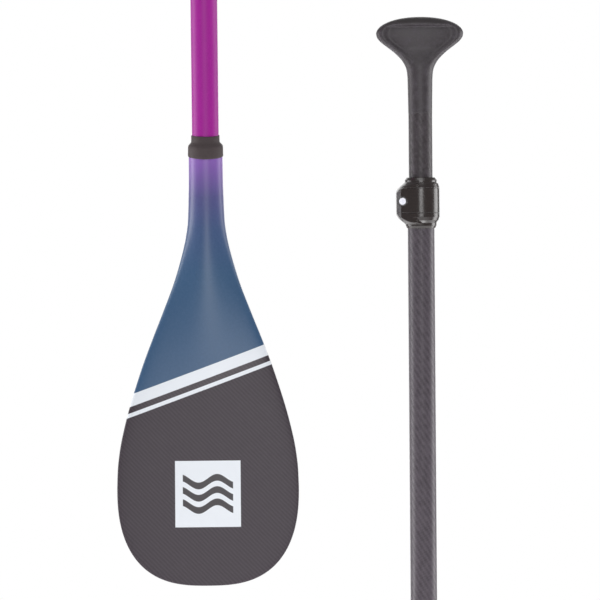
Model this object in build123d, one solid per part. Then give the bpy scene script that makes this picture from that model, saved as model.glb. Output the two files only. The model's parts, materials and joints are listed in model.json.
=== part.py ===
from build123d import *
import math
import os

# A three-part stand-up paddle, taken apart at its ferrule: the blade section on the left and the
# handle section beside it. Millimetres, +Z up the shafts, blade faces toward -Y.
# Origin: centre of the open mouth of the blade section's tube.

os.makedirs("parts", exist_ok=True)

# ---- driving dimensions ----
shaft_r = 14.5             # outside radius of both 29 mm tubes
bore_r = 13.0              # inside radius of both tubes
inner_r = 12.85            # outside radius of the handle's sliding tube
inner_bore_r = 11.65       # inside radius of the sliding tube
run_gap = 0.05             # radial clearance of running fits
section_gap = 233.0        # from the blade section's axis to the handle section's axis
section_drop = 1.2         # how far the handle section hangs below the heights given here

tube_bottom = -495.0       # lower end of the blade tube, inside the throat
blade_top = -531.0         # where the throat ends and the blade's skins begin
neck_top = -424.0          # upper edge of the blade's throat
neck_r = 18.3              # radius of the throat below the collar
collar_top = -411.0        # heat-shrink collar, upper edge
collar_step = -418.5       # where the collar starts to flare over the throat
collar_bottom = -433.0     # heat-shrink collar, lower edge
collar_wall = 0.9
seat_r = 14.2              # the tube is turned down to this radius inside collar and throat
throat_floor = -506.0      # bottom of the blind hole that takes the tube

blade_tip = -893.0         # lowest point of the blade
blade_max_z = -788.0       # where the blade is widest
blade_half = 97.7          # half of its greatest width
rake_start = -470.0        # the blade bends forward below this height
rake_angle = 9.0           # degrees between shaft and blade
skin = 1.0                 # thickness of each blade skin

grip_top = -283.2          # top of the palm grip
grip_foot = -387.2         # lower edge of the grip's sleeve
grip_half = 47.1           # half of the palm grip's width
handle_foot = -925.0       # lower end of the sliding tube

clamp_top = -456.5         # top of the clamp's lip
band_top = -468.0          # seam between the lip ring and the clamp band
band_bottom = -494.5       # seam between the clamp band and the skirt
clamp_bottom = -511.5      # lower edge of the skirt
clamp_r = 20.3             # outside radius of the clamp
ear_reach = 26.8           # from the shaft's axis to the outer face of the ears
ear_half = 11.0            # half of the ears' thickness, front to back
ear_top = -461.9           # the ears' bevelled upper and lower ends
ear_bottom = -507.0
slit = 2.4                 # gap between the two ears
bolt_x = -20.4             # tension bolt, from the shaft's axis
bolt_z = -482.1            # tension bolt height
bolt_r = 2.5
pin_y = 17.2               # lever pin, behind the ears
pin_r = 3.0
lever_half_height = 11.0

tube_top = -462.0          # upper end of the outer tube, inside the lip ring
tube_foot = -1182.0        # lower end of the outer tube
ferrule_r = 12.95
ferrule_bore_r = 10.95
ferrule_reach = 90.0       # how far the ferrule stands out of the outer tube
ferrule_hold = 60.0        # how far it is bonded inside
glue_groove = 3.0          # width of the relief where the ferrule enters the outer tube
seal_low = -1236.0         # O-ring groove below the button
seal_high = -1233.0
seal_floor_r = 11.9
button_drop = 45.0         # button below the tube's shoulder
button_r = 4.0
button_tip = 16.5          # how far the button's dome stands from the axis
ferrule_foot = tube_foot - ferrule_reach
button_z = tube_foot - button_drop


def save(shape, name, section_x=0.0):
    """Write one sub-part, the handle section's moved onto that section's own axis."""
    drop = section_drop if section_x else 0.0
    export_step(Pos(section_x, 0, -drop) * shape, f"parts/{name}.step")


def rod(radius, low, high):
    """A round bar along Z between two heights."""
    return Pos(0, 0, low) * Cylinder(radius, high - low, align=(Align.CENTER, Align.CENTER, Align.MIN))


def pipe(outer, inner, low, high):
    """A round tube along Z between two heights."""
    return rod(outer, low, high) - rod(inner, low - 1, high + 1)


def bar_y(radius, low, high, x=0.0, z=0.0):
    """A round bar along Y between two depths."""
    bar = Cylinder(radius, high - low, align=(Align.CENTER, Align.CENTER, Align.MIN))
    return Pos(x, low, z) * Rot(-90, 0, 0) * bar


def block(x0, x1, y0, y1, z0, z1):
    """A box between two corners."""
    return Pos((x0 + x1) / 2, (y0 + y1) / 2, (z0 + z1) / 2) * Box(x1 - x0, y1 - y0, z1 - z0)


def turned(*points):
    """A solid of revolution about Z from (radius, height) corners."""
    outline = Polyline([(r, 0, z) for r, z in points], close=True)
    return revolve(make_face(outline), Axis.Z)


# ---- blade section ----
def rake(z):
    """How far forward of the shaft's axis the blade's middle surface is at a height."""
    drop = rake_start - z
    if drop <= 0:
        return 0.0
    bend = 90.0
    slope = math.tan(math.radians(rake_angle))
    if drop < bend:
        return -slope * drop * drop / (2 * bend)
    return -slope * (drop - bend / 2)


def half_thickness(z):
    """Half of the blade's thickness, thin at the tip."""
    share = max(0.0, (z - blade_tip) / (blade_top - blade_tip))
    return 2.0 + 5.5 * share ** 1.2


def profile_band(offset_low, offset_high, low, high):
    """A strip seen from the side, following the rake, swept across the whole width."""
    steps = 7
    heights = [low + (high - low) * i / steps for i in range(steps + 1)]
    front = [(0, rake(z) + offset_low(z), z) for z in heights]
    back = [(0, rake(z) + offset_high(z), z) for z in reversed(heights)]
    edges = Spline(*front).edges() + Spline(*back).edges()
    edges += Line(front[-1], back[0]).edges() + Line(back[-1], front[0]).edges()
    return extrude(make_face(edges), 110, dir=(1, 0, 0), both=True)


def planform(inset=0.0):
    """The blade seen from the front, as a tall block through its thickness."""
    shoulder = [
        (24.3, blade_top),
        (37.7, -575.0),
        (55.2, -619.0),
        (74.8, -672.0),
        (90.6, -729.0),
        (blade_half, blade_max_z),
        (90.4, -840.0),
        (66.5, -876.3),
        (45.3, -887.3),
    ]
    side = [(x - inset, 0, z) for x, z in shoulder]
    tip = (0, 0, blade_tip + inset)
    right = Spline(*side, tip, tangents=[(0.2, 0, -1), (-1, 0, 0)])
    left = mirror(right, Plane.YZ)
    top = Line((-side[0][0], 0, side[0][2]), side[0])
    return extrude(make_face(right.edges() + left.edges() + top.edges()), 90, dir=(0, 1, 0), both=True)


outline = planform()
blade_low = blade_tip - 5
core = outline & profile_band(
    lambda z: skin - half_thickness(z), lambda z: half_thickness(z) - skin, blade_low, blade_top
)
face_skin = outline & profile_band(
    lambda z: -half_thickness(z), lambda z: skin - half_thickness(z), blade_low, blade_top
)
back_skin = outline & profile_band(
    lambda z: half_thickness(z) - skin, lambda z: half_thickness(z), blade_low, blade_top
)

# the throat: round under the collar, then wider and flatter down to the blade's upper edge
throat_stations = [
    (neck_top, 18.0, 18.0),
    (-450.0, neck_r, 17.8),
    (-480.0, 18.9, 17.4),
    (-505.0, 20.4, 16.8),
    (blade_top, 24.0, 16.2),
]
throat_rings = [
    Plane((0, rake(z), z)) * Ellipse(wide, deep) for z, wide, deep in throat_stations
]
throat = loft(throat_rings) - rod(seat_r, throat_floor, neck_top + 1)

snap_hole = bar_y(button_r + 0.5, 0, 30, z=-button_drop)
lower_tube = rod(shaft_r, collar_top, 0) + rod(seat_r, tube_bottom, collar_top)
lower_tube -= rod(bore_r, tube_bottom - 1, 1)
lower_tube -= snap_hole
bung_gap = 3.0
lower_bung = rod(seat_r, throat_floor, tube_bottom - bung_gap)

collar = turned(
    (seat_r, collar_top),
    (shaft_r + collar_wall, collar_top),
    (shaft_r + collar_wall, collar_step),
    (neck_r + collar_wall, neck_top + 1.0),
    (neck_r + collar_wall, collar_bottom),
    (neck_r + 0.1, collar_bottom),
    (neck_r + 0.1, neck_top),
    (seat_r, neck_top),
)

save(core, "blade_core")
save(face_skin, "blade_face_skin")
save(back_skin, "blade_back_skin")
save(throat, "blade_throat")
save(lower_tube, "lower_tube")
save(lower_bung, "lower_tube_bung")
save(collar, "throat_collar")

# ---- handle ----
def palm_grip_shape():
    """A mushroom of elliptical sections, wide across and narrow front to back."""
    stations = [
        (grip_foot, 13.1, 13.1),
        (-357.2, 13.4, 13.4),
        (-345.2, 14.0, 13.6),
        (-338.2, 15.8, 14.0),
        (-332.2, 18.4, 14.6),
        (-325.2, 24.5, 15.4),
        (-318.2, 33.0, 16.2),
        (-310.2, 42.6, 17.0),
        (-305.7, 46.0, 17.6),
        (-301.2, grip_half, 17.8),
        (-297.2, 45.6, 17.6),
        (-292.2, 40.8, 16.4),
        (-288.2, 33.6, 13.8),
        (-285.2, 24.0, 10.0),
        (grip_top, 12.0, 5.0),
    ]
    rings = [Plane((0, 0, z)) * Ellipse(wide, deep) for z, wide, deep in stations]
    return loft(rings, ruled=True)


grip_socket_top = -341.0
palm_grip = palm_grip_shape() - rod(inner_r, grip_foot - 1, grip_socket_top)
inner_tube = pipe(inner_r, inner_bore_r, handle_foot, grip_socket_top)
grip_bung = rod(inner_bore_r, grip_socket_top - 18, grip_socket_top)

# the sliding tube's foot: a bonded plug whose stub carries the guide bush
stub_r = 7.0
bush_low = handle_foot - 19.0
bush_high = handle_foot - 1.0
clip_low = bush_low - 2.0
end_plug = rod(inner_bore_r, handle_foot, handle_foot + 20) + rod(stub_r, clip_low - 1.0, handle_foot)
end_plug -= pipe(stub_r + 1, stub_r - 1, clip_low + 0.4, clip_low + 1.6)
bush = pipe(bore_r - 0.06, stub_r + run_gap, bush_low, bush_high)
clip = pipe(stub_r + 2.5, stub_r - 1, clip_low + 0.4, clip_low + 1.6)
clip -= block(-3, 3, 0, 12, clip_low - 1, clip_low + 3)

save(palm_grip, "palm_grip", section_gap)
save(inner_tube, "inner_tube", section_gap)
save(grip_bung, "grip_bung", section_gap)
save(end_plug, "tube_end_plug", section_gap)
save(clip, "bush_clip", section_gap)
save(bush, "guide_bush", section_gap)

# ---- outer tube and ferrule ----
outer_tube = pipe(shaft_r, bore_r, tube_foot, tube_top)
slot_half = 1.0
slot_length = 45.0
for turn in (0, 90):
    cut = block(-20, 20, -slot_half, slot_half, tube_top - slot_length, tube_top + 1)
    outer_tube -= Rot(0, 0, turn) * cut

button_hole = bar_y(button_r + 0.1, 0, 30, z=button_z)
ferrule = pipe(ferrule_r, ferrule_bore_r, ferrule_foot, tube_foot)
ferrule += pipe(bore_r, ferrule_bore_r, tube_foot, tube_foot + ferrule_hold)
ferrule -= button_hole
ferrule -= pipe(bore_r + 1, bore_r - 0.6, tube_foot, tube_foot + glue_groove)
ferrule -= pipe(bore_r + 1, seal_floor_r, seal_low, seal_high)
seal = pipe(ferrule_r + 0.02, seal_floor_r, seal_low + 0.3, seal_high - 0.3)
seal = fillet(seal.edges().filter_by(GeomType.CIRCLE), 0.4)
ferrule_bung = rod(ferrule_bore_r, tube_foot + 30, tube_foot + ferrule_hold)

flange_r = 5.4
flange_y = 9.2
button = bar_y(button_r, 8.0, button_tip, z=button_z)
button = fillet(button.faces().sort_by(Axis.Y)[-1].edges(), 2.5)
button += bar_y(flange_r, flange_y - 1.2, flange_y, z=button_z)

# leaf spring: a bent strip whose crown pushes the button outward
strip_half = 3.0
strip = 0.6
crown_y = flange_y - 1.2
foot_y = -10.4
leaf_path = [
    (0, foot_y, button_z + 34),
    (0, foot_y, button_z + 22),
    (0, crown_y - strip, button_z + 6),
    (0, crown_y - strip, button_z - 6),
]
leaf_back = [(0, y + strip, z) for x, y, z in reversed(leaf_path)]
leaf_back[1] = (0, crown_y, button_z + 6.3)
leaf_back[2] = (0, foot_y + strip, button_z + 22.3)
leaf = extrude(make_face(Polyline(leaf_path + leaf_back, close=True)), strip_half, dir=(1, 0, 0), both=True)

save(outer_tube, "outer_tube", section_gap)
save(ferrule, "ferrule", section_gap)
save(ferrule_bung, "ferrule_bung", section_gap)
save(seal, "seal_ring", section_gap)
save(button, "snap_button", section_gap)
save(leaf, "leaf_spring", section_gap)

# ---- clamp ----
def clamp_ears():
    """The lug on the clamp's left side: its front runs on from the round body, its ends are bevelled."""
    corners = [
        (0, -18.0),
        (-5.0, -19.6),
        (-22.0, -13.2),
        (-ear_reach, -8.0),
        (-ear_reach, ear_half - 3.0),
        (-24.0, ear_half),
        (0, ear_half),
    ]
    plan = fillet(make_face(Polyline(corners, close=True)).vertices(), 0.8)
    lug = Pos(0, 0, clamp_bottom) * extrude(plan, clamp_top - clamp_bottom)
    corners = [
        (0, ear_top),
        (17.8, ear_top),
        (22.0, ear_top - 3.6),
        (25.4, ear_top - 7.4),
        (28.5, ear_top - 12.4),
        (28.5, ear_bottom + 12.6),
        (25.4, ear_bottom + 7.2),
        (22.0, ear_bottom + 3.5),
        (17.7, ear_bottom),
        (0, ear_bottom),
    ]
    bevel = make_face(Polyline([(r, 0, z) for r, z in corners], close=True))
    bevel = revolve(fillet([v for v in bevel.vertices() if v.X > 20], 1.5), Axis.Z)
    return lug & bevel


def shell_outline():
    """The clamp's round body with its lip above and its tapered skirt below, its corners rounded."""
    corners = [
        (0, clamp_top),
        (15.4, clamp_top),
        (17.5, -459.4),
        (17.5, -461.6),
        (19.0, -463.2),
        (clamp_r, -467.2),
        (clamp_r + 0.1, -499.0),
        (19.2, -502.8),
        (17.1, -505.6),
        (16.9, -508.6),
        (15.6, clamp_bottom),
        (0, clamp_bottom),
    ]
    face = make_face(Polyline([(r, 0, z) for r, z in corners], close=True))
    rounded = [v for v in face.vertices() if v.X > 1]
    return revolve(fillet(rounded, 0.7), Axis.Z)


solid_clamp = shell_outline() + clamp_ears()
tube_way = rod(shaft_r, clamp_bottom - 1, tube_top)
guide_way = rod(inner_r + 0.1, tube_top - 1, clamp_top + 1)
seam = 0.3
wiper_low = -460.5
wiper_high = -458.5
wiper_r = 14.0

lip_ring = solid_clamp & block(-40, 40, -40, 40, band_top + seam, clamp_top)
lip_ring -= tube_way
lip_ring -= guide_way
lip_ring -= rod(wiper_r, wiper_low, wiper_high)
wiper = pipe(wiper_r, inner_r + 0.05, wiper_low, wiper_high)

band = solid_clamp & block(-40, 40, -40, 40, band_bottom, band_top)
band -= tube_way
band -= block(-40, 0, -slit / 2, slit / 2, band_bottom - 1, band_top + 1)
band -= bar_y(bolt_r + 0.1, -30, 30, bolt_x, bolt_z)
recess_r = 5.0
recess_floor = -9.0
band -= bar_y(recess_r, -30, recess_floor, bolt_x, bolt_z)

skirt = solid_clamp & block(-40, 40, -40, 40, clamp_bottom, band_bottom - seam)
skirt -= tube_way

head_r = 3.6
head_tall = 3.6
bolt = bar_y(bolt_r, recess_floor, pin_y + pin_r - 0.3, bolt_x, bolt_z)
bolt += bar_y(head_r, recess_floor - head_tall, recess_floor, bolt_x, bolt_z)
key_side = 2.5
key = extrude(RegularPolygon(key_side / math.sqrt(3), 6), 1.8)
bolt -= Pos(bolt_x, recess_floor - head_tall, bolt_z) * Rot(-90, 0, 0) * key

saddle = block(bolt_x - 5, bolt_x + 2.8, ear_half, ear_half + 1, bolt_z - 9, bolt_z + 9)
saddle -= bar_y(bolt_r + 0.1, 0, 30, bolt_x, bolt_z)

pin_place = Pos(bolt_x, pin_y, 0)
pin_half = lever_half_height + 0.5
barrel_pin = pin_place * rod(pin_r, bolt_z - pin_half, bolt_z + pin_half)
barrel_pin -= bar_y(bolt_r, 0, pin_y + pin_r - 0.3, bolt_x, bolt_z)


def lever_shape():
    """A curved arm round the back of the clamp, ending in a forked cam on the barrel pin."""
    low = bolt_z - lever_half_height
    high = bolt_z + lever_half_height
    inside = clamp_r + 0.6
    outside = inside + 3.6
    arm = pipe(outside, inside, low, high)
    sector = Polyline(
        [
            (0, 0),
            (60 * math.cos(math.radians(38)), 60 * math.sin(math.radians(38))),
            (0, 80),
            (60 * math.cos(math.radians(136)), 60 * math.sin(math.radians(136))),
        ],
        close=True,
    )
    arm = arm & (Pos(0, 0, low) * extrude(make_face(sector), high - low))
    cam = Pos(bolt_x, pin_y - 0.5, 0) * rod(4.6, low, high)
    root = Pos(0, 0, low) * extrude(
        make_face(
            Polyline(
                [(bolt_x, pin_y - 4.4), (-16.4, 13.6), (-13.2, 16.4), (-14.5, 20.4), (bolt_x, pin_y + 4.1)],
                close=True,
            )
        ),
        high - low,
    )
    root -= rod(inside, low - 1, high + 1)
    lever = arm + cam + root
    lever -= pin_place * rod(pin_r + run_gap, low - 1, high + 1)
    lever -= pin_place * rod(6.6, bolt_z - 3.4, bolt_z + 3.4)
    return lever


lever = lever_shape()

save(lip_ring, "clamp_lip_ring", section_gap)
save(wiper, "wiper_ring", section_gap)
save(band, "clamp_band", section_gap)
save(skirt, "clamp_skirt", section_gap)
save(bolt, "tension_bolt", section_gap)
save(saddle, "cam_saddle", section_gap)
save(barrel_pin, "barrel_pin", section_gap)
save(lever, "clamp_lever", section_gap)
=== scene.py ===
import bisect
import json
import math

import bmesh
import bpy
from mathutils import Matrix, Vector


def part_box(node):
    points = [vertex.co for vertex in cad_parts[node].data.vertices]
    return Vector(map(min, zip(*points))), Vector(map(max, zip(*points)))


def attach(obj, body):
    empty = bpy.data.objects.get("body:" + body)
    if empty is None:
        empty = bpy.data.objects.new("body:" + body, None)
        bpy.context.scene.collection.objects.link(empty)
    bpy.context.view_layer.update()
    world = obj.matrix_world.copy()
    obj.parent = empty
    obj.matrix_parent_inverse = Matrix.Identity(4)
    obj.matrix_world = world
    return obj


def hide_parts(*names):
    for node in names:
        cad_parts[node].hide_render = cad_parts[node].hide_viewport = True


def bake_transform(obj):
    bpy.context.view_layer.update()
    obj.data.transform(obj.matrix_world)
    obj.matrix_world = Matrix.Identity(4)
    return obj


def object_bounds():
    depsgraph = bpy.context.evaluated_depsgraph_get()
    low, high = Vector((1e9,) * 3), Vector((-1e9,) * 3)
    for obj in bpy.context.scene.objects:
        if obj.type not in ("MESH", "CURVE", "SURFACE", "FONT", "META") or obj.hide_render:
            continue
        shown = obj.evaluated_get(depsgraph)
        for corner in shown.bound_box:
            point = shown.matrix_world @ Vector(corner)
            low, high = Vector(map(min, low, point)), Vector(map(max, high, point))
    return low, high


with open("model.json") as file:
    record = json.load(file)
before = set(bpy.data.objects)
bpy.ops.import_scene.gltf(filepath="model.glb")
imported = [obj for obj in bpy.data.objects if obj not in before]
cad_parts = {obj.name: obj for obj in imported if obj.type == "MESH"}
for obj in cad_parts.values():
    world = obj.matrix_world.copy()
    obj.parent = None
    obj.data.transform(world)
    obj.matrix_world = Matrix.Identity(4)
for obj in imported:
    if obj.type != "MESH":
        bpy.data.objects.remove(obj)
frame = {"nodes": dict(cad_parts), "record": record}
cad_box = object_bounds()
MM = 0.001
JOINTS = {j["name"]: j for j in frame["record"]["behaviour"]["joints"]}
HANDLE_X = JOINTS["handle_turn"]["pos_m"][0]
SHAFT_DROP = JOINTS["length_adjust"]["range_m"][1]
TUBE_R = (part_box("outer_tube")[1][0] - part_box("outer_tube")[0][0]) / 2


def srgb(red, green, blue):
    """A display colour, 0 to 255, as a linear colour for a shader."""
    def linear(value):
        share = value / 255
        return share / 12.92 if share <= 0.04045 else ((share + 0.055) / 1.055) ** 2.4
    return (linear(red), linear(green), linear(blue), 1.0)


# ---- node helpers ----
class Shader:
    """A material's node tree with short calls for the nodes used here."""

    def __init__(self, name):
        self.material = bpy.data.materials.new(name)
        self.material.use_nodes = True
        self.nodes = self.material.node_tree.nodes
        self.links = self.material.node_tree.links
        self.nodes.clear()
        self.out = self.nodes.new("ShaderNodeOutputMaterial")
        self.surface = self.nodes.new("ShaderNodeBsdfPrincipled")
        self.links.new(self.surface.outputs[0], self.out.inputs[0])
        self.place = None

    def plug(self, value, socket):
        if isinstance(value, bpy.types.NodeSocket):
            self.links.new(value, socket)
        else:
            socket.default_value = value

    def math(self, operation, a, b=0.0):
        node = self.nodes.new("ShaderNodeMath")
        node.operation = operation
        for socket, value in zip(node.inputs, (a, b)):
            self.plug(value, socket)
        return node.outputs[0]

    def xyz(self):
        """The point's own coordinates, in metres."""
        if self.place is None:
            coords = self.nodes.new("ShaderNodeTexCoord")
            split = self.nodes.new("ShaderNodeSeparateXYZ")
            self.links.new(coords.outputs["Object"], split.inputs[0])
            self.place = (split.outputs[0], split.outputs[1], split.outputs[2], coords.outputs["Object"])
        return self.place

    def noise(self, scale, detail=3.0, rough=0.5, stretch=None):
        source = self.xyz()[3]
        if stretch:
            mapping = self.nodes.new("ShaderNodeMapping")
            mapping.inputs["Scale"].default_value = stretch
            self.links.new(source, mapping.inputs[0])
            source = mapping.outputs[0]
        node = self.nodes.new("ShaderNodeTexNoise")
        node.inputs["Scale"].default_value = scale
        node.inputs["Detail"].default_value = detail
        node.inputs["Roughness"].default_value = rough
        self.links.new(source, node.inputs["Vector"])
        return node.outputs[0]

    def mix(self, share, first, second):
        node = self.nodes.new("ShaderNodeMix")
        node.data_type = "RGBA"
        self.plug(share, node.inputs[0])
        self.plug(first, node.inputs[6])
        self.plug(second, node.inputs[7])
        return node.outputs[2]

    def ramp(self, value, low, high, start=0.0, end=1.0):
        """Map value from low..high onto start..end, held at both ends."""
        node = self.nodes.new("ShaderNodeMapRange")
        for socket, number in zip(node.inputs, (value, low, high, start, end)):
            self.plug(number, socket)
        return node.outputs[0]

    def colours(self, value, stops):
        node = self.nodes.new("ShaderNodeValToRGB")
        elements = node.color_ramp.elements
        while len(elements) < len(stops):
            elements.new(0.5)
        for element, (place, colour) in zip(elements, stops):
            element.position = place
            element.color = colour
        self.links.new(value, node.inputs[0])
        return node.outputs[0]

    def bump(self, height, distance, strength=1.0, round_edges=0.0):
        node = self.nodes.new("ShaderNodeBump")
        node.inputs["Strength"].default_value = strength
        node.inputs["Distance"].default_value = distance
        if round_edges:
            edges = self.nodes.new("ShaderNodeBevel")
            edges.inputs["Radius"].default_value = round_edges
            self.links.new(edges.outputs[0], node.inputs["Normal"])
        self.links.new(height, node.inputs["Height"])
        self.links.new(node.outputs[0], self.surface.inputs["Normal"])

    def finish(self, colour, roughness, metallic=0.0, specular=0.5):
        self.plug(colour, self.surface.inputs["Base Color"])
        self.plug(roughness, self.surface.inputs["Roughness"])
        self.surface.inputs["Metallic"].default_value = metallic
        self.surface.inputs["Specular IOR Level"].default_value = specular
        return self.material


def twill(shader, u, v, tow, steep=1.0):
    """A 2/2 twill weave over the surface coordinates u and v: warp share, and the tows' height."""
    across = shader.math("DIVIDE", u, tow)
    along = shader.math("DIVIDE", v, tow * steep)
    cell = shader.math("ADD", shader.math("FLOOR", across), shader.math("FLOOR", along))
    turn = shader.math("FRACT", shader.math("DIVIDE", cell, 4.0))
    warp = shader.math("LESS_THAN", turn, 0.49)
    crown = []
    for line in (across, along):
        centred = shader.math("SUBTRACT", shader.math("MULTIPLY", shader.math("FRACT", line), 2.0), 1.0)
        crown.append(shader.math("SUBTRACT", 1.0, shader.math("MULTIPLY", centred, centred)))
    low = shader.math("MULTIPLY", crown[1], shader.math("SUBTRACT", 1.0, warp))
    height = shader.math("ADD", shader.math("MULTIPLY", crown[0], warp), low)
    return warp, height


def tube_coordinates(shader, axis_x, radius):
    """Distance round the tube from its front, and height."""
    x, y, z, _ = shader.xyz()
    angle = shader.math("ARCTAN2", shader.math("SUBTRACT", x, axis_x), shader.math("MULTIPLY", y, -1.0))
    return shader.math("MULTIPLY", angle, radius), z


# ---- materials ----
TUBE_TOW = 1.45 * MM       # width of one carbon tow on the tubes
TUBE_TOW_STEEP = 1.5
BLADE_TOW = 1.2 * MM


def carbon_tube(name, axis_x, radius, dark, light, rough):
    """Satin carbon twill wound on a tube, with fine mottling and painted shade in the weave's low places."""
    s = Shader(name)
    u, z = tube_coordinates(s, axis_x, radius)
    warp, height = twill(s, u, z, TUBE_TOW, TUBE_TOW_STEEP)
    cloud = s.noise(180.0, 4.0, 0.6)
    base = s.mix(s.math("MULTIPLY", warp, 0.85), dark, light)
    # painted shade: the low places between the tows are darkened, standing in for shade in the weave's dips
    shade = s.mix(s.ramp(height, 0.0, 0.5, 0.3, 0.0), base, srgb(44, 40, 44))
    colour = s.mix(s.ramp(cloud, 0.35, 0.7, 0.0, 0.35), shade, srgb(104, 96, 104))
    s.bump(height, TOW_BUMP, 0.5)
    rough_map = s.ramp(warp, 0.0, 1.0, rough, rough - 0.08)
    return s.finish(colour, rough_map, specular=0.35)


STRIPE_SLOPE = 0.363
BLUE_ENDS = -0.6585        # heights on the blade's axis where one band gives way to the next
WIDE_STRIPE_ENDS = -0.6715
NARROW_STRIPE_STARTS = -0.6782
NARROW_STRIPE_ENDS = -0.6826
STRIPE_BLUR = 0.25 * MM
PANEL_HALF = 35.2 * MM
PANEL_Z = -0.7945
PANEL_BLUR = 0.2           # mm
WAVE_LENGTH = 0.040
WAVE_SWELL = 4.5 * MM
WAVE_HALF = 3.6            # half of a wave's thickness, mm
WAVE_RISES = (13.0, 0.0, -13.0)
WAVE_REACH = 27.0          # mm from the panel's middle
TOW_BUMP = 0.03 * MM


def blade_material():
    """Blue and purple lacquer, two white stripes, bare carbon below, and a plain white panel."""
    s = Shader("blade_finish")
    x, y, z, _ = s.xyz()
    slanted = s.math("SUBTRACT", z, s.math("MULTIPLY", x, STRIPE_SLOPE))
    grain = s.noise(420.0, 3.0, 0.6)
    warp, height = twill(s, x, z, BLADE_TOW)
    dark, light = srgb(57, 49, 56), srgb(67, 58, 66)
    carbon = s.mix(warp, dark, light)
    # painted shade: the bare carbon is darkened where the tows dip, standing in for shade between them
    carbon = s.mix(s.ramp(height, 0.0, 0.5, 0.25, 0.0), carbon, srgb(38, 32, 37))
    fade = s.ramp(z, -0.430, -0.560, 0.0, 1.0)
    lacquer = s.colours(fade, [
        (0.0, srgb(136, 90, 176)),
        (0.16, srgb(116, 84, 158)),
        (0.36, srgb(78, 76, 128)),
        (0.62, srgb(60, 81, 122)),
        (1.0, srgb(54, 87, 122)),
    ])
    lacquer = s.mix(s.ramp(grain, 0.4, 0.7, 0.0, 0.12), lacquer, srgb(96, 118, 152))

    def below(edge):
        return s.ramp(slanted, edge + STRIPE_BLUR, edge - STRIPE_BLUR, 0.0, 1.0)

    white = srgb(235, 239, 245)
    colour = s.mix(below(BLUE_ENDS), lacquer, white)
    colour = s.mix(below(WIDE_STRIPE_ENDS), colour, carbon)
    colour = s.mix(below(NARROW_STRIPE_STARTS), colour, white)
    colour = s.mix(below(NARROW_STRIPE_ENDS), colour, carbon)

    # the panel: a white square with three dark waves, on the face only
    dx = s.math("ABSOLUTE", x)
    dz = s.math("ABSOLUTE", s.math("SUBTRACT", z, PANEL_Z))
    reach = s.math("MAXIMUM", dx, dz)
    square = s.ramp(reach, PANEL_HALF + PANEL_BLUR * MM, PANEL_HALF - PANEL_BLUR * MM, 0.0, 1.0)
    geometry = s.nodes.new("ShaderNodeNewGeometry")
    normal = s.nodes.new("ShaderNodeSeparateXYZ")
    s.links.new(geometry.outputs["Normal"], normal.inputs[0])
    facing = s.math("LESS_THAN", normal.outputs[1], 0.0)
    square = s.math("MULTIPLY", square, facing)
    turns = s.math("MULTIPLY", x, 2 * math.pi / WAVE_LENGTH)
    swell = s.math("MULTIPLY", s.math("SINE", turns), WAVE_SWELL)
    level = s.math("SUBTRACT", s.math("SUBTRACT", z, PANEL_Z), swell)
    wave = None
    for rise in WAVE_RISES:
        gap = s.math("ABSOLUTE", s.math("SUBTRACT", level, rise * MM))
        line = s.ramp(gap, (WAVE_HALF + PANEL_BLUR) * MM, (WAVE_HALF - PANEL_BLUR) * MM, 0.0, 1.0)
        wave = line if wave is None else s.math("MAXIMUM", wave, line)
    inside = s.ramp(dx, (WAVE_REACH + PANEL_BLUR) * MM, (WAVE_REACH - PANEL_BLUR) * MM, 0.0, 1.0)
    wave = s.math("MULTIPLY", wave, inside)
    panel = s.mix(wave, white, srgb(52, 47, 52))
    colour = s.mix(square, colour, panel)

    edge = s.nodes.new("ShaderNodeAttribute")
    edge.attribute_name = "rim"
    colour = s.mix(s.ramp(edge.outputs["Fac"], 0.80, 1.0, 0.0, 0.75), colour, srgb(30, 30, 44))

    bare = s.math("MULTIPLY", below(NARROW_STRIPE_ENDS), s.math("SUBTRACT", 1.0, square))
    s.bump(s.math("MULTIPLY", height, bare), TOW_BUMP, 0.5)
    rough = s.math("ADD", s.math("MULTIPLY", bare, 0.10), s.ramp(grain, 0.3, 0.7, 0.36, 0.44))
    return s.finish(colour, rough, specular=0.5)


def purple_lacquer():
    """Satin purple paint with a fine speckle and faint long streaks."""
    s = Shader("purple_paint")
    grain = s.noise(900.0, 2.0, 0.6)
    streak = s.noise(60.0, 3.0, 0.5, stretch=(1.0, 1.0, 0.05))
    colour = s.mix(s.ramp(grain, 0.35, 0.7), srgb(150, 20, 136), srgb(164, 30, 148))
    colour = s.mix(s.ramp(streak, 0.4, 0.75, 0.0, 0.3), colour, srgb(140, 34, 134))
    s.bump(grain, 0.02 * MM, 0.4)
    return s.finish(colour, s.ramp(grain, 0.3, 0.7, 0.42, 0.52), specular=0.3)


def heat_shrink():
    """Matt shrunk sleeve with fine grain and faint rings."""
    s = Shader("heat_shrink_sleeve")
    grain = s.noise(1400.0, 3.0, 0.65)
    rings = s.noise(260.0, 2.0, 0.5, stretch=(0.15, 0.15, 1.0))
    colour = s.mix(s.ramp(grain, 0.3, 0.75), srgb(62, 53, 54), srgb(78, 68, 69))
    height = s.math("ADD", grain, s.math("MULTIPLY", rings, 1.5))
    s.bump(height, 0.08 * MM, 0.5)
    return s.finish(colour, s.ramp(grain, 0.3, 0.7, 0.62, 0.74), specular=0.35)


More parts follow.
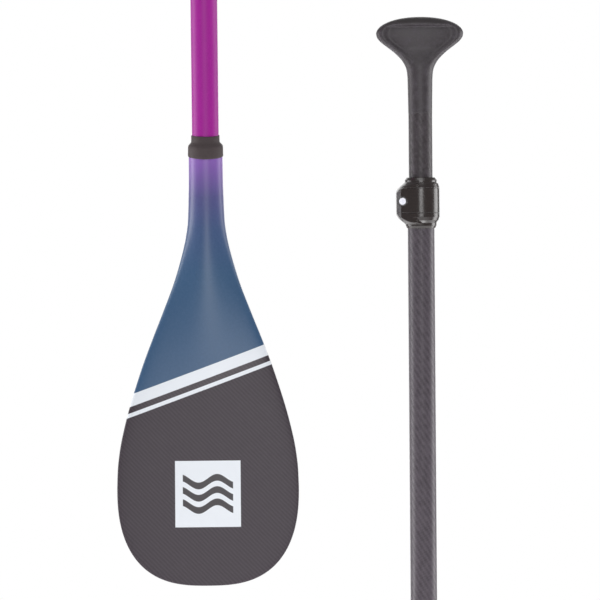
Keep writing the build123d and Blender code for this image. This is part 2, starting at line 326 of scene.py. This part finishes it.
def grip_moulding():
    """Charcoal palm grip, satin and mottled like pressed fibre, with painted shade darkening the top of its
    crown.
    """
    s = Shader("grip_moulded")
    blotch = s.noise(150.0, 5.0, 0.7)
    fine = s.noise(1100.0, 3.0, 0.6)
    colour = s.colours(blotch, [
        (0.30, srgb(48, 42, 46)),
        (0.50, srgb(58, 52, 56)),
        (0.62, srgb(66, 60, 66)),
        (0.75, srgb(78, 72, 80)),
    ])
    colour = s.mix(s.ramp(fine, 0.4, 0.8, 0.0, 0.3), colour, srgb(48, 44, 48))
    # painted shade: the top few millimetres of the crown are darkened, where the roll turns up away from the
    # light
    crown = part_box("palm_grip")[1][2]
    colour = s.mix(s.ramp(s.xyz()[2], crown - 8.5 * MM, crown - 5.5 * MM, 0.0, 0.6), colour, srgb(40, 33, 32))
    s.bump(s.math("ADD", fine, s.math("MULTIPLY", blotch, 0.8)), 0.10 * MM, 0.5)
    return s.finish(colour, s.ramp(blotch, 0.35, 0.7, 0.44, 0.57), specular=0.5)


def gloss_nylon(name, tone):
    """Glossy moulded nylon with slight orange peel and handling marks."""
    s = Shader(name)
    peel = s.noise(260.0, 2.0, 0.5)
    marks = s.noise(150.0, 4.0, 0.65)
    colour = s.mix(s.ramp(marks, 0.5, 0.8, 0.0, 0.4), tone, srgb(42, 35, 33))
    s.bump(peel, 0.02 * MM, 0.25, round_edges=0.9 * MM)
    return s.finish(colour, s.ramp(marks, 0.35, 0.75, 0.20, 0.29), specular=0.8)


def bright_steel(name):
    """Turned stainless steel with fine brushing."""
    s = Shader(name)
    brush = s.noise(900.0, 3.0, 0.6, stretch=(1.0, 0.08, 1.0))
    colour = s.mix(s.ramp(brush, 0.35, 0.7), srgb(160, 160, 168), srgb(204, 204, 212))
    s.bump(brush, 0.01 * MM, 0.3)
    return s.finish(colour, s.ramp(brush, 0.3, 0.7, 0.26, 0.40), metallic=1.0)


def plain_moulding(name, first, second, scale, rough):
    """A moulded or foamed part with a fine two-tone grain."""
    s = Shader(name)
    grain = s.noise(scale, 4.0, 0.65)
    colour = s.mix(s.ramp(grain, 0.35, 0.7), first, second)
    s.bump(grain, 0.05 * MM, 0.4)
    return s.finish(colour, s.ramp(grain, 0.3, 0.7, rough - 0.05, rough + 0.08))


BLADE = blade_material()
PURPLE = purple_lacquer()
SLEEVE = heat_shrink()
GRIP = grip_moulding()
OUTER = carbon_tube("carbon_outer", HANDLE_X, TUBE_R, srgb(66, 60, 66), srgb(82, 75, 82), 0.42)
INNER = carbon_tube("carbon_inner", HANDLE_X, TUBE_R, srgb(49, 44, 46), srgb(58, 52, 54), 0.46)
NYLON = gloss_nylon("clamp_gloss", srgb(33, 22, 19))
STEEL = bright_steel("bright_steel")
ACETAL = plain_moulding("acetal_black", srgb(40, 40, 42), srgb(56, 56, 58), 600.0, 0.40)
FOAM = plain_moulding("foam", srgb(214, 208, 190), srgb(232, 228, 214), 900.0, 0.85)
LAMINATE = plain_moulding("ground_laminate", srgb(58, 58, 60), srgb(82, 82, 84), 500.0, 0.50)
RUBBER = plain_moulding("wiper_black", srgb(38, 37, 37), srgb(54, 52, 52), 700.0, 0.70)

CAD_FINISHES = {
    PURPLE: ["lower_tube"],
    OUTER: ["outer_tube"],
    INNER: ["inner_tube"],
    NYLON: ["clamp_lip_ring", "clamp_band", "clamp_skirt", "clamp_lever"],
    STEEL: ["tension_bolt", "barrel_pin", "bush_clip", "snap_button"],
    ACETAL: ["guide_bush", "tube_end_plug", "cam_saddle"],
    FOAM: ["blade_core", "lower_tube_bung", "grip_bung", "ferrule_bung"],
    LAMINATE: ["ferrule"],
    RUBBER: ["wiper_ring"],
}
for material, names in CAD_FINISHES.items():
    for name in names:
        node = frame["nodes"][name]
        node.data.materials.clear()
        node.data.materials.append(material)


# ---- mesh helpers ----
def curve_through(points):
    """A smooth, never overshooting curve through (place, value) points, as a function."""
    points = sorted(points)
    xs = [p[0] for p in points]
    ys = [p[1] for p in points]
    rise = [(ys[i + 1] - ys[i]) / (xs[i + 1] - xs[i]) for i in range(len(xs) - 1)]
    slope = [rise[0]]
    for before, after in zip(rise, rise[1:]):
        slope.append(0.0 if before * after <= 0 else 2 * before * after / (before + after))
    slope.append(rise[-1])

    def value(x):
        x = min(max(x, xs[0]), xs[-1])
        i = min(bisect.bisect_right(xs, x) - 1, len(xs) - 2)
        step = xs[i + 1] - xs[i]
        t = (x - xs[i]) / step
        return (
            (1 + 2 * t) * (1 - t) ** 2 * ys[i] + t * (1 - t) ** 2 * step * slope[i]
            + t * t * (3 - 2 * t) * ys[i + 1] + t * t * (t - 1) * step * slope[i + 1]
        )
    return value


def ease(t):
    t = min(max(t, 0.0), 1.0)
    return t * t * (3 - 2 * t)


def smooth_piece(name, bm, material):
    """A smooth-shaded object from a finished bmesh, which is freed."""
    bmesh.ops.recalc_face_normals(bm, faces=bm.faces)
    mesh = bpy.data.meshes.new(name)
    bm.to_mesh(mesh)
    bm.free()
    for polygon in mesh.polygons:
        polygon.use_smooth = True
    mesh.materials.append(material)
    piece = bpy.data.objects.new(name, mesh)
    bpy.context.scene.collection.objects.link(piece)
    return piece


def skin_rings(name, rings, material, rims=None):
    """A closed mesh through rings of points, with its two ends closed by fans."""
    bm = bmesh.new()
    rows = [[bm.verts.new(p) for p in ring] for ring in rings]
    for low, high in zip(rows, rows[1:]):
        count = len(low)
        for i in range(count):
            j = (i + 1) % count
            bm.faces.new((low[i], low[j], high[j], high[i]))
    for row, flip in ((rows[0], True), (rows[-1], False)):
        middle = bm.verts.new(sum((v.co for v in row), Vector()) / len(row))
        for i in range(len(row)):
            j = (i + 1) % len(row)
            bm.faces.new((row[j], row[i], middle) if flip else (row[i], row[j], middle))
    piece = smooth_piece(name, bm, material)
    if rims:
        layer = piece.data.attributes.new("rim", "FLOAT", "POINT")
        flat = [value for ring in rims for value in ring] + [0.0, 0.0]
        layer.data.foreach_set("value", flat)
    return piece


def skin_loop(name, rings, material):
    """A tube-like mesh through rings of points, its last ring joined to its first."""
    bm = bmesh.new()
    rows = [[bm.verts.new(p) for p in ring] for ring in rings]
    count = len(rings[0])
    for first, second in zip(rows, rows[1:] + rows[:1]):
        for i in range(count):
            j = (i + 1) % count
            bm.faces.new((first[i], first[j], second[j], second[i]))
    return smooth_piece(name, bm, material)


def signed_power(value, power):
    return math.copysign(abs(value) ** power, value)


# ---- the blade and its throat, one smooth lacquered shell ----
RAKE_START = -470.0
RAKE_SLOPE = math.tan(math.radians(9.0))
RAKE_BEND = 90.0
RIDGE_OPENS = -505.0


def rake(z):
    drop = RAKE_START - z
    if drop <= 0:
        return 0.0
    if drop < RAKE_BEND:
        return -RAKE_SLOPE * drop * drop / (2 * RAKE_BEND)
    return -RAKE_SLOPE * (drop - RAKE_BEND / 2)


def build_blade():
    low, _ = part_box("blade_core")
    _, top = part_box("blade_throat")
    tip_z = low[2] / MM + 1.1
    top_z = top[2] / MM
    widest_z = -788.0
    widest = 97.7
    upper = curve_through([
        (-424, 18.3), (-459.6, 18.55), (-470.5, 18.8), (-503, 20.0), (-520, 22.3), (-535.4, 25.7),
        (-567.8, 35.1), (-600.1, 47.3), (-632.3, 60.1), (-664.4, 72.0), (-717.8, 88.2), (-749.7, 94.9),
        (-770, 97.1), (widest_z, widest),
    ])
    plate = curve_through([
        (-424, 18.0), (-470, 17.9), (-500, 15.4), (-530, 11.0), (-565, 8.0), (-610, 6.6),
        (-700, 5.4), (-800, 4.0), (-893, 2.0),
    ])
    spine = curve_through([
        (-424, 18.0), (-470, 17.9), (-505, 17.0), (-535, 15.7), (-570, 13.6), (-610, 11.0),
        (-660, 7.9), (-720, 5.6), (-800, 4.1), (-893, 2.0),
    ])

    def half_width(z):
        if z >= widest_z:
            return upper(z)
        share = (widest_z - z) / (widest_z - tip_z)
        return widest * max(1 - share ** 2.4, 0.0) ** 0.36

    heights = [top_z + (widest_z - top_z) * i / 110 for i in range(110)]
    steps = 46
    heights += [widest_z + (tip_z - widest_z) * math.sin(math.pi / 2 * i / steps) for i in range(steps)]
    heights.append(tip_z + 0.02)
    count = 128
    rings = []
    rims = []
    for z in heights:
        wide = half_width(z)
        blunt = ease((RAKE_START - z) / 210)
        power = 1.0 - 0.42 * blunt
        deep = plate(z) * min(1.0, wide / 30.0 + 0.35) if z < widest_z else plate(z)
        ridge = max(spine(z) - plate(z), 0.0)
        spread = 15.0 + 0.17 * max(RIDGE_OPENS - z, 0.0)
        ring = []
        rim = []
        for i in range(count):
            angle = 2 * math.pi * i / count
            across = signed_power(math.cos(angle), 1.0 - 0.10 * blunt)
            through = signed_power(math.sin(angle), power)
            x = wide * across
            bump = ridge * math.exp(-((x / spread) ** 2))
            y = rake(z) + deep * through + math.copysign(bump, through) * min(1.0, abs(through) * 2)
            ring.append((x * MM, y * MM, z * MM))
            rim.append(1.0 - min(1.0, abs(math.sin(angle)) / 0.45) if blunt > 0.2 else 0.0)
        rings.append(ring)
        rims.append(rim)
    piece = skin_rings("blade_shell", rings, BLADE, rims)
    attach(piece, "blade_section")
    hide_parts("blade_face_skin", "blade_back_skin", "blade_throat", "blade_core")


build_blade()


# ---- the heat-shrink collar ----
def build_collar():
    low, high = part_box("throat_collar")
    bottom = low[2] / MM
    top = high[2] / MM + 1.0
    outer = [
        (15.0, top - 0.1), (15.35, top - 0.5), (15.4, top - 4), (15.45, top - 6.5), (15.8, top - 7.6),
        (16.8, top - 8.8), (18.0, top - 10.0), (18.75, top - 11.2), (19.0, top - 13.0), (19.1, bottom + 3.0),
        (19.15, bottom + 1.2), (19.0, bottom + 0.4), (18.6, bottom + 0.1),
    ]
    inner = [(18.45, bottom + 0.3), (18.45, top - 12.5), (14.6, top - 12.5), (14.6, top - 0.3)]
    count = 144
    rings = []
    for radius, z in outer + inner:
        ring = []
        for i in range(count):
            angle = 2 * math.pi * i / count
            wobble = 0.0
            if radius > 15.2:
                wobble = 0.07 * math.sin(3 * angle + 0.4 * z) + 0.04 * math.sin(11 * angle + z)
            drop = 0.25 * math.sin(2 * angle + 1.0) if (z > top - 1.0 or z < bottom + 1.5) else 0.0
            # the sleeve sits a little crooked, lower at the front than at the back
            drop += math.sin(angle) * (1.4 + 1.4 * (top - z) / (top - bottom))
            reach = radius + (wobble if radius not in (18.45, 14.6) else 0.0)
            ring.append((reach * math.cos(angle) * MM, reach * math.sin(angle) * MM, (z + drop) * MM))
        rings.append(ring)
    piece = skin_loop("throat_sleeve", rings, SLEEVE)
    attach(piece, "blade_section")
    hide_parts("throat_collar")


build_collar()


# ---- the palm grip ----
def build_grip():
    low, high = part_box("palm_grip")
    foot = low[2] / MM
    top = high[2] / MM
    widest_z = foot + 86.0
    widest = 47.1
    socket_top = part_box("inner_tube")[1][2] / MM
    sleeve = curve_through([
        (foot, 12.95), (foot + 14, 13.1), (foot + 26, 13.3), (foot + 37, 13.5), (foot + 43, 13.9),
        (foot + 48, 14.8), (foot + 53, 16.9), (foot + 57.5, 19.7), (foot + 62, 23.8), (foot + 67, 29.3),
        (foot + 73, 37.2), (foot + 76.2, 41.2), (foot + 79.5, 44.5), (foot + 82.8, 46.5), (widest_z, widest),
    ])
    deepest_z = foot + 88.0
    deepest = 17.8
    lower_depth = curve_through([
        (foot, 12.95), (foot + 26, 13.2), (foot + 41, 13.5), (foot + 51, 14.2), (foot + 61, 15.2),
        (foot + 74, 16.8), (foot + 83, 17.7), (deepest_z, deepest),
    ])

    def depth(z):
        if z <= deepest_z:
            return lower_depth(z)
        share = (z - deepest_z) / (top - deepest_z)
        return deepest * max(1 - share ** 2, 0.0) ** 0.55

    def half_width(z):
        if z <= widest_z:
            return sleeve(z)
        share = (z - widest_z) / (top - widest_z)
        return widest * max(1 - share ** 2, 0.0) ** 0.47

    heights = [foot + (widest_z - foot) * i / 90 for i in range(90)]
    steps = 34
    heights += [widest_z + (top - widest_z) * math.sin(math.pi / 2 * i / steps) for i in range(steps)]
    heights.append(top - 0.001)
    count = 160
    rings = []
    for z in heights:
        wide = half_width(z)
        deep = depth(z)
        ring = []
        for i in range(count):
            angle = 2 * math.pi * i / count
            x = wide * math.cos(angle)
            y = deep * math.sin(angle)
            if y < 0:
                # the scooped face: deepest in the middle, running out into a V above the sleeve
                limit = max(wide - 3.0, 0.1)
                side = ease((limit - abs(x)) / 11.0)
                upper = ease((foot + 96.5 - z) / 4.0)
                lower = ease((z - socket_top) / 26.0)
                y += 0.48 * abs(y) * side * upper * lower
            ring.append((HANDLE_X + x * MM, y * MM, z * MM))
        rings.append(ring)
    piece = skin_rings("grip_shell", rings, GRIP)
    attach(piece, "handle")
    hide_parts("palm_grip")


build_grip()


# ---- the leaf spring behind the button, and the ferrule's seal ----
LEAF_THICK = 0.6 * MM
LEAF_CROWN = 12 * MM       # length of the flat that bears on the button
LEAF_SLOPE = 16 * MM       # height over which it leans back to its foot
SEAL_TRIM = 0.09 * MM      # drawn this much smaller in radius than in CAD, clear of the socket's facets
SEAL_DEEP = 0.5 * MM


def build_leaf_spring():
    low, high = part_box("leaf_spring")
    half = (high[0] - low[0]) / 2
    back_y = low[1] + LEAF_THICK / 2
    crown_y = high[1] - LEAF_THICK / 2
    crown_z = low[2] + LEAF_CROWN
    foot_z = crown_z + LEAF_SLOPE

    def line(z):
        return back_y + (crown_y - back_y) * ease((foot_z - z) / (foot_z - crown_z))

    rings = []
    count = 90
    for i in range(count + 1):
        z = low[2] + 0.3 * MM + (high[2] - low[2] - 0.6 * MM) * i / count
        lean = math.atan((line(z + 0.01 * MM) - line(z - 0.01 * MM)) / (0.02 * MM))
        end = min(i, count - i)
        wide = half - 0.5 * MM * (1 - min(end / 3, 1)) ** 2
        ring = []
        for k in range(24):
            angle = 2 * math.pi * k / 24
            x = wide * signed_power(math.cos(angle), 0.35)
            out = LEAF_THICK / 2 * signed_power(math.sin(angle), 0.6)
            ring.append((HANDLE_X + x, line(z) + out * math.cos(lean), z - out * math.sin(lean)))
        rings.append(ring)
    piece = skin_rings("leaf_strip", rings, STEEL)
    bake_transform(piece)
    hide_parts("leaf_spring")


def build_seal():
    low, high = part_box("seal_ring")
    reach = (high[0] - low[0]) / 2 - SEAL_TRIM
    height = (high[2] - low[2]) / 2
    level = (high[2] + low[2]) / 2
    rings = []
    for k in range(20):
        turn = 2 * math.pi * k / 20
        radius = reach - SEAL_DEEP + SEAL_DEEP * signed_power(math.cos(turn), 0.8)
        z = level + height * signed_power(math.sin(turn), 0.8)
        angles = [2 * math.pi * i / 96 for i in range(96)]
        rings.append([(HANDLE_X + radius * math.cos(a), radius * math.sin(a), z) for a in angles])
    piece = skin_loop("seal_o_ring", rings, RUBBER)
    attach(piece, "shaft_section")
    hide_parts("seal_ring")


build_leaf_spring()
build_seal()


# ---- stage, lights and camera ----
FLOOR_RADIUS = 1.9
FLOOR_GLOW = 0.8
FLOOR_CLEAR = 0.01         # below the shaft's lowest place
WORLD_LIGHT = 0.33


def build_stage():
    mesh = bpy.data.meshes.new("floor")
    bm = bmesh.new()
    bmesh.ops.create_circle(bm, cap_ends=True, segments=96, radius=FLOOR_RADIUS)
    bm.to_mesh(mesh)
    bm.free()
    floor = bpy.data.objects.new("floor", mesh)
    # clear of the shaft's foot when the shaft is let all the way down
    floor.location = (HANDLE_X / 2, 0, cad_box[0][2] - SHAFT_DROP - FLOOR_CLEAR)
    bpy.context.scene.collection.objects.link(floor)
    s = Shader("pale_floor")
    tone = s.noise(2.0, 2.0, 0.5)
    mesh.materials.append(s.finish(s.mix(tone, srgb(244, 244, 246), srgb(250, 250, 251)), 0.9))
    s.surface.inputs["Emission Color"].default_value = (1, 1, 1, 1)
    s.surface.inputs["Emission Strength"].default_value = FLOOR_GLOW


def build_world():
    """White where the camera sees it directly, and a dim grey light everywhere else."""
    world = bpy.data.worlds.new("studio")
    bpy.context.scene.world = world
    world.use_nodes = True
    nodes = world.node_tree.nodes
    links = world.node_tree.links
    nodes.clear()
    seen = nodes.new("ShaderNodeBackground")
    lit = nodes.new("ShaderNodeBackground")
    seen.inputs[0].default_value = (1, 1, 1, 1)
    seen.inputs[1].default_value = 1.0
    lit.inputs[0].default_value = (0.97, 0.98, 1.0, 1)
    lit.inputs[1].default_value = WORLD_LIGHT
    path = nodes.new("ShaderNodeLightPath")
    mix = nodes.new("ShaderNodeMixShader")
    out = nodes.new("ShaderNodeOutputWorld")
    links.new(path.outputs["Is Camera Ray"], mix.inputs[0])
    links.new(lit.outputs[0], mix.inputs[1])
    links.new(seen.outputs[0], mix.inputs[2])
    links.new(mix.outputs[0], out.inputs[0])


def add_light(name, place, target, wide, tall, power):
    """A soft area light at place, turned to face target."""
    data = bpy.data.lights.new(name, "AREA")
    data.shape = "RECTANGLE"
    data.size = wide
    data.size_y = tall
    data.energy = power
    light = bpy.data.objects.new(name, data)
    light.location = place
    aim = Vector(target) - Vector(place)
    light.rotation_euler = aim.to_track_quat("-Z", "Y").to_euler()
    bpy.context.scene.collection.objects.link(light)


VIEW_SPAN = 0.6522
VIEW_DISTANCE = 3.0
VIEW_CENTRE = (0.1008, 0.0, -0.5896)
VIEW_PITCH = 3.0
VIEW_ROLL = 0.56


def build_camera():
    data = bpy.data.cameras.new("camera")
    data.sensor_width = 36.0
    data.lens = 36.0 * VIEW_DISTANCE / VIEW_SPAN
    camera = bpy.data.objects.new("camera", data)
    pitch = math.radians(VIEW_PITCH)
    back = Vector((0, -math.cos(pitch), math.sin(pitch)))
    camera.location = Vector(VIEW_CENTRE) + back * VIEW_DISTANCE
    level = Matrix.Rotation(math.pi / 2 - pitch, 4, "X")
    roll = Matrix.Rotation(math.radians(-VIEW_ROLL), 4, "Z")
    camera.rotation_euler = (level @ roll).to_euler()
    bpy.context.scene.collection.objects.link(camera)
    bpy.context.scene.camera = camera


build_stage()
build_world()
middle = (HANDLE_X / 2, 0, -0.6)
add_light("left_box", (-2.0, 0.3, -0.7), middle, 1.2, 2.0, 34)
add_light("right_box", (2.2, 0.5, -0.7), middle, 1.2, 2.0, 30)
add_light("front_box", (0.2, -3.4, 0.2), middle, 1.3, 1.6, 34)
add_light("top_box", (0.1, -0.9, 1.3), (0.1, 0, -0.4), 1.2, 0.8, 7)
add_light("back_box", (0.1, 2.2, -0.3), middle, 2.6, 2.6, 36)
add_light("low_box", (0.2, -0.3, -1.62), (0.2, -0.1, -0.5), 0.9, 0.2, 3)
build_camera()
bpy.context.scene.view_settings.view_transform = "Standard"
